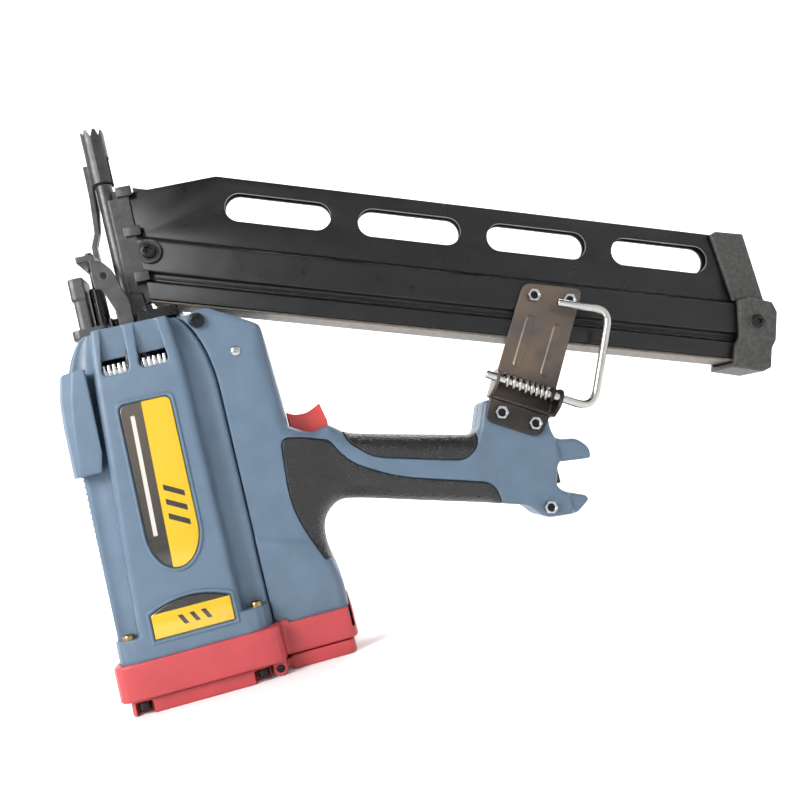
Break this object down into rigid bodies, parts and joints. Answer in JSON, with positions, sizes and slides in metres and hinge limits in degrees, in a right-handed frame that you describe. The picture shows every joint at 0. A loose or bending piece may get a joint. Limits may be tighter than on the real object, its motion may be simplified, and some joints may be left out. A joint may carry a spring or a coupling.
{
  "type": "gas framing nailer",
  "caption": "Gas-powered framing nailer with straight stick magazine, D-shaped handle frame, toothed muzzle probe, swing-out rafter hook and red end cap.",
  "frame": {"origin": "where the drive axis meets the flat underside of the end cap, on which the tool stands", "axes": "+Z is the driving direction, with the muzzle up; +X runs from the drive axis towards the handle and magazine; -Y is the side with the nameplates and the hook"},
  "size_m": [0.4925, 0.101, 0.375],
  "materials": {
    "housing_blue": "satin moulded nylon",
    "cap_red": "satin moulded nylon",
    "trigger_red": "semi-gloss moulded plastic",
    "grip_rubber": "pebbled overmould",
    "nameplate": "domed clear resin over yellow and dark brown",
    "anodised_black": "satin black anodised extrusion",
    "bracket_steel": "brown-grey dark nickel plating",
    "nose_steel": "phosphated grey-black steel",
    "cast_grey": "dark coated die casting with fine grain",
    "hook_chrome": "polished chrome",
    "zinc": "bright zinc plating",
    "raw_aluminium": "machined aluminium",
    "spring_steel": "nickel-plated spring wire",
    "black_steel": "black oxide",
    "black_plastic": "matte moulded plastic",
    "circuit_green": "solder mask",
    "cell_metal": "plain printed can"
  },
  "bodies": {
    "tool_body": {"motor_housing": "housing_blue", "side_cover": "housing_blue", "end_cap": "cap_red", "air_filter_cover": "cap_red", "fuel_door_pin": "black_steel", "nameplate_large": "nameplate", "nameplate_small": "nameplate", "handle_shell_near": "housing_blue", "handle_shell_far": "housing_blue", "lower_grip_near": "grip_rubber", "lower_grip_far": "grip_rubber", "upper_grip_near": "grip_rubber", "upper_grip_far": "grip_rubber", "cylinder": "raw_aluminium", "bumper": "grip_rubber", "cylinder_head": "raw_aluminium", "spark_plug": "zinc", "fan_motor": "nose_steel", "nose_flange": "black_steel", "nosepiece": "nose_steel", "depth_body": "nose_steel", "trigger_switch": "black_plastic", "circuit_board": "circuit_green", "battery_terminals": "black_plastic", "fuel_cell": "cell_metal", "cap_screw_1": "black_steel", "cap_screw_2": "black_steel", "cap_screw_3": "black_steel", "cap_screw_4": "black_steel", "nose_screw_near": "black_steel", "nose_screw_far": "black_steel", "chamber_spring": "spring_steel", "trigger_spring": "spring_steel", "shell_screw": "black_steel", "rear_nut": "zinc", "magazine_near": "anodised_black", "magazine_far": "anodised_black", "magazine_rail": "bracket_steel", "magazine_end_cap": "cast_grey", "magazine_end_screw": "black_steel", "magazine_front_bolt": "black_steel", "bracket_near": "bracket_steel", "bracket_far": "bracket_steel", "bracket_nut_1": "zinc", "bracket_nut_2": "zinc", "bracket_nut_3": "zinc", "bracket_nut_4": "zinc"},
    "probe": {"muzzle_probe": "nose_steel", "linkage_yoke": "nose_steel", "depth_rod": "black_steel", "combustion_sleeve": "raw_aluminium"},
    "piston": {"piston": "nose_steel"},
    "fan": {"fan": "raw_aluminium"},
    "trigger": {"trigger": "trigger_red"},
    "follower": {"follower": "black_plastic", "follower_spring": "spring_steel"},
    "depth_knob": {"depth_knob": "black_steel"},
    "fuel_door": {"fuel_door": "cap_red"},
    "hook_slider": {"hook_spring": "spring_steel"},
    "rafter_hook": {"rafter_hook": "hook_chrome"}
  },
  "joints": [
    {"name": "probe_slide", "type": "slide", "parent": "tool_body", "child": "probe", "axis": [0, 0, -1], "range_m": [0, 0.012], "stiffness_N_per_m": 1200, "springref_m": -0.012, "deforming": ["chamber_spring"]},
    {"name": "piston_slide", "type": "slide", "parent": "tool_body", "child": "piston", "axis": [0, 0, 1], "range_m": [0, 0.1]},
    {"name": "fan_spin", "type": "hinge", "parent": "tool_body", "child": "fan", "pos_m": [0, 0, 0.056], "axis": [0, 0, 1], "continuous": true},
    {"name": "trigger_pull", "type": "slide", "parent": "tool_body", "child": "trigger", "axis": [0, 0, -1], "range_m": [0, 0.006], "stiffness_N_per_m": 600, "springref_m": -0.004, "deforming": ["trigger_spring"]},
    {"name": "follower_slide", "type": "slide", "parent": "tool_body", "child": "follower", "axis": [0.9483, 0, -0.3173], "range_m": [0, 0.34], "stiffness_N_per_m": 12, "springref_m": -0.6},
    {"name": "depth_adjust", "type": "hinge", "parent": "tool_body", "child": "depth_knob", "pos_m": [-0.0196, 0, 0.259], "axis": [0, 0, 1], "continuous": true},
    {"name": "fuel_door_hinge", "type": "hinge", "parent": "tool_body", "child": "fuel_door", "pos_m": [0.046, 0, 0.0048], "axis": [0, 1, 0], "range_deg": [0, 100]},
    {"name": "hook_slide", "type": "slide", "parent": "tool_body", "child": "hook_slider", "axis": [0.8572, 0, -0.515], "range_m": [0, 0.004], "stiffness_N_per_m": 900, "springref_m": -0.004},
    {"name": "hook_swing", "type": "hinge", "parent": "hook_slider", "child": "rafter_hook", "pos_m": [0.245, -0.028, 0.1366], "axis": [0.8572, 0, -0.515], "range_deg": [0, 180]}
  ]
}
